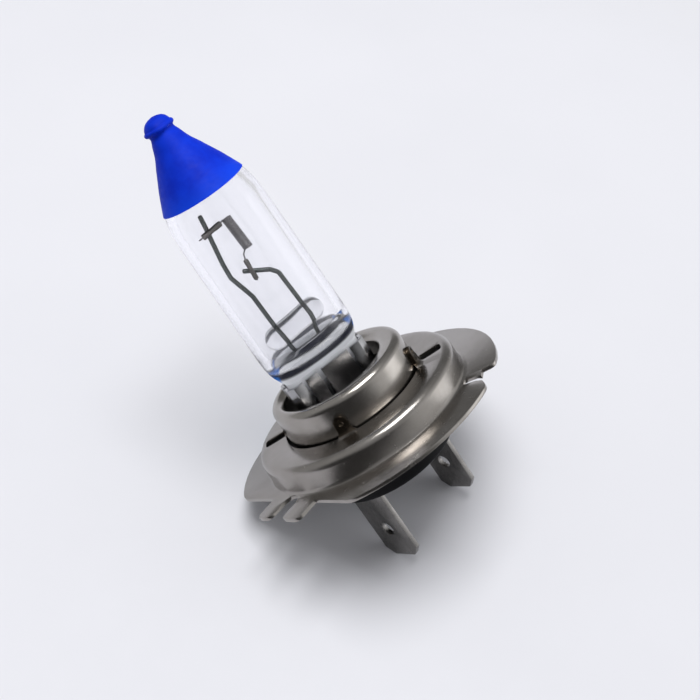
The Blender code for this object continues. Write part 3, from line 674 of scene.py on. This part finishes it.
def focus_collar():
    """A rolled cup. Its flat top leans towards the burner, so that the hole is centred on it."""
    wall, roll, low = SHEET, 0.85, 2.7
    outer = [(COLLAR_R, low + 0.06), (COLLAR_R, COLLAR_TOP - roll)]
    outer += arc(COLLAR_R - roll, COLLAR_TOP - roll, roll, 8, 90, 14)
    outer += [(COLLAR_HOLE_R + 0.62, COLLAR_TOP - 0.03), (COLLAR_HOLE_R + 0.3, COLLAR_TOP - 0.14)]
    outer += [(COLLAR_HOLE_R + 0.08, COLLAR_TOP - 0.34), (COLLAR_HOLE_R, COLLAR_TOP - 0.55)]
    inner = [(COLLAR_HOLE_R + 0.12, COLLAR_TOP - 0.74), (COLLAR_HOLE_R + 0.3, COLLAR_TOP - 0.78)]
    inner += [(COLLAR_HOLE_R + 0.48, COLLAR_TOP - 0.5)]
    inner += arc(COLLAR_R - roll, COLLAR_TOP - roll, roll - wall, 90, 0, 8)
    inner += [(COLLAR_R - wall, low), (COLLAR_R - 0.06, low)]
    mesh = lathe_mesh("rolled_collar", outer + inner)
    flat = COLLAR_R - roll
    lean = Vector((BURNER.translation.x, BURNER.translation.y, 0))
    for vertex in mesh.vertices:
        radius = math.hypot(vertex.co.x, vertex.co.y) / MM
        share = max(0.0, min(1.0, (flat - radius) / (flat - COLLAR_HOLE_R - 0.3)))
        vertex.co += share * lean
    return piece("rolled_collar", mesh, COLLAR, "collar_steel", "focus_collar")


def keep_cad(name, look, bevel=0.05):
    """A CAD node shown as it is, with its seams closed and its edges broken; shade then shades its curves
    smooth.
    """
    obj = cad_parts[name]
    obj.data.materials.clear()
    obj.data.materials.append(look)
    weld = obj.modifiers.new("close_seams", "WELD")
    weld.merge_threshold = 2e-6
    if bevel:
        edge = obj.modifiers.new("break_edges", "BEVEL")
        edge.width = bevel * MM
        edge.segments = 2
        edge.limit_method = "ANGLE"
        edge.angle_limit = math.radians(40)
        edge.use_clamp_overlap = True
        edge.harden_normals = False
    return obj


def shade(obj, angle=35):
    """Smooth shading by angle, as a last modifier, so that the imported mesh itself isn't touched."""
    group = bpy.data.node_groups.get("smooth_by_angle") or smooth_group(angle)
    step = obj.modifiers.new("smooth", "NODES")
    step.node_group = group


def smooth_group(angle):
    group = bpy.data.node_groups.new("smooth_by_angle", "GeometryNodeTree")
    group.interface.new_socket("Geometry", in_out="INPUT", socket_type="NodeSocketGeometry")
    group.interface.new_socket("Geometry", in_out="OUTPUT", socket_type="NodeSocketGeometry")
    nodes, links = group.nodes, group.links
    start, end = nodes.new("NodeGroupInput"), nodes.new("NodeGroupOutput")
    faces, edges = nodes.new("GeometryNodeSetShadeSmooth"), nodes.new("GeometryNodeSetShadeSmooth")
    faces.domain, edges.domain = "FACE", "EDGE"
    bend_angle, test = nodes.new("GeometryNodeInputMeshEdgeAngle"), nodes.new("FunctionNodeCompare")
    test.operation = "LESS_THAN"
    test.inputs[1].default_value = math.radians(angle)
    links.new(bend_angle.outputs["Unsigned Angle"], test.inputs[0])
    links.new(start.outputs[0], faces.inputs["Geometry"])
    links.new(faces.outputs["Geometry"], edges.inputs["Geometry"])
    links.new(test.outputs[0], edges.inputs["Shade Smooth"])
    links.new(edges.outputs["Geometry"], end.inputs[0])
    return group


glass_envelope()
tip_paint()
wire("coil", coil_path(), COIL_WIRE, TUNGSTEN, "tungsten", "filament", 10)
wire("long_post", bend(LONG_POST, 0.8), POST_R, MOLYBDENUM, "molybdenum", "long_lead_post")
wire("short_post", bend(SHORT_POST, 0.8), POST_R, MOLYBDENUM, "molybdenum", "short_lead_post")
sleeve("upper_sleeve", UPPER_SLEEVE, UPPER_SLEEVE_R, "upper_filament_sleeve")
sleeve("lower_sleeve", LOWER_SLEEVE, LOWER_SLEEVE_R, "lower_filament_sleeve")
glass_bridge()
focus_collar()

KEPT = {
    "base_shell": (NICKEL, "nickelled_steel", 0.05),
    "insulator": (BLACK, "black_insulator", 0.05),
    "terminal_blade_left": (BLADE, "tinned_blade", 0.06),
    "terminal_blade_right": (BLADE, "tinned_blade", 0.06),
    "pinch_clip_front": (STAINLESS, "stainless_clip", 0.05),
    "pinch_clip_rear": (STAINLESS, "stainless_clip", 0.05),
    "foil_long": (MOLYBDENUM, "molybdenum", 0),
    "foil_short": (MOLYBDENUM, "molybdenum", 0),
    "outer_lead_long": (MOLYBDENUM, "molybdenum", 0),
    "outer_lead_short": (MOLYBDENUM, "molybdenum", 0),
}
for name, (look, slot, bevel) in KEPT.items():
    shade(keep_cad(name, look, bevel))


# Table, light and camera: the bulb lies on the far rim of its flange and on both blade tips

BACKDROP = (0.83, 0.832, 0.855, 1)
WINDOW = Vector((-0.745, 0.582, -0.326))
RIM = Vector((0, -FLANGE_R, -SHEET))
BLADE_CORNER = Vector((0, -2.6, -13.55))
UP = Vector((1, 0, 0)).cross(RIM - BLADE_CORNER).normalized()
if UP.z < 0:
    UP.negate()
FLOOR_POINT = (RIM + Vector((0, 0, SEAT))) * MM
CENTRE = Vector((0, 0, 15 + SEAT)) * MM


def on_floor(point):
    return point - UP * (point - FLOOR_POINT).dot(UP)


def stage_floor():
    bm = bmesh.new()
    bmesh.ops.create_circle(bm, cap_ends=True, segments=96, radius=0.4)
    mesh = bpy.data.meshes.new("table_top")
    bm.to_mesh(mesh)
    bm.free()
    floor = bpy.data.objects.new("table_top", mesh)
    bpy.context.scene.collection.objects.link(floor)
    floor.rotation_mode = "QUATERNION"
    floor.rotation_quaternion = UP.to_track_quat("Z", "Y")
    floor.location = on_floor(CENTRE)
    mesh.materials.append(table_top("pale_table", 85, 150))


def camera():
    data = bpy.data.cameras.new("camera")
    data.lens = LENS
    data.sensor_width = 36.0
    data.clip_start = 0.005
    made = bpy.data.objects.new("camera", data)
    bpy.context.scene.collection.objects.link(made)
    heading, tilt = math.radians(CAMERA_HEADING), math.radians(CAMERA_TILT)
    ahead = Vector((math.cos(tilt) * math.cos(heading), math.cos(tilt) * math.sin(heading), math.sin(tilt)))
    made.rotation_mode = "QUATERNION"
    level = ahead.to_track_quat("-Z", "Y")
    made.rotation_quaternion = level @ Quaternion((0, 0, 1), math.radians(CAMERA_ROLL))
    made.location = (Vector(CAMERA_PLACE) + Vector((0, 0, SEAT))) * MM
    bpy.context.scene.camera = made
    return made


def panel(name, way, distance, size, watts):
    """A soft box facing the bulb. way is (right, towards the camera, up) on the table."""
    across = SIDE * way[0] + NEAR * way[1] + UP * way[2]
    data = bpy.data.lights.new(name, "AREA")
    data.shape = "RECTANGLE"
    data.size, data.size_y = size
    data.energy = watts
    made = bpy.data.objects.new(name, data)
    bpy.context.scene.collection.objects.link(made)
    made.location = CENTRE + across.normalized() * distance
    made.rotation_mode = "QUATERNION"
    made.rotation_quaternion = across.normalized().to_track_quat("Z", "Y")
    made.visible_camera = False
    made.visible_transmission = False


def along(room, direction):
    """How far a ray's direction points along this one, -1 to 1."""
    node = room.nodes.new("ShaderNodeVectorMath")
    node.operation = "DOT_PRODUCT"
    node.inputs[1].default_value = direction
    room.links.new(room.place.outputs["Generated"], node.inputs[0])
    return node.outputs["Value"]


def studio(top, horizon, dark, right_gain, left_gain, window_gain):
    """A pale room, brighter overhead, with a window, and dark behind the camera.

    Seen straight or through glass it is plain.
    """
    room = Look("room", world=True)
    bpy.context.scene.world = room.material
    height, near, side = along(room, UP), along(room, NEAR), along(room, SIDE)
    sky = room.spread(height, horizon, top, 0.15, 0.95)
    behind = room.math("MULTIPLY", room.spread(near, 0, 1, 0.1, 0.85), room.spread(height, 1, 0, 0.35, 0.75))
    kept = room.spread(behind, 1, dark, 0, 1)
    right = room.spread(side, 0, right_gain, 0.35, 0.95)
    left = room.spread(side, left_gain, 0, -0.95, -0.4)
    window = room.spread(along(room, WINDOW), 0, window_gain, 0.93, 0.995)
    sides = room.math("ADD", room.math("ADD", right, left), window)
    value = room.math("MULTIPLY", room.math("ADD", sky, sides), kept)
    lit = room.nodes.new("ShaderNodeBackground")
    lit.inputs["Color"].default_value = (0.985, 0.99, 1.0, 1)
    room.links.new(value, lit.inputs["Strength"])
    seen = room.nodes.new("ShaderNodeBackground")
    seen.inputs["Color"].default_value = BACKDROP
    ray = room.nodes.new("ShaderNodeLightPath")
    through = room.math("GREATER_THAN", ray.outputs["Transmission Depth"], 0.5)
    plain = room.math("MAXIMUM", ray.outputs["Is Camera Ray"], through)
    mix = room.nodes.new("ShaderNodeMixShader")
    room.links.new(plain, mix.inputs[0])
    room.links.new(lit.outputs[0], mix.inputs[1])
    room.links.new(seen.outputs[0], mix.inputs[2])
    room.done(mix.outputs[0])


VIEW = camera()
TOWARD = (VIEW.location - CENTRE).normalized()
NEAR = (TOWARD - UP * TOWARD.dot(UP)).normalized()
SIDE = NEAR.cross(UP).normalized() * -1
stage_floor()
studio(0.42, 0.24, 0.22, 0.7, 0.22, 1.05)
panel("overhead_box", (-0.06, -0.08, 1.0), 0.6, (0.34, 0.28), 3.05)
bpy.context.scene.view_settings.view_transform = "Standard"
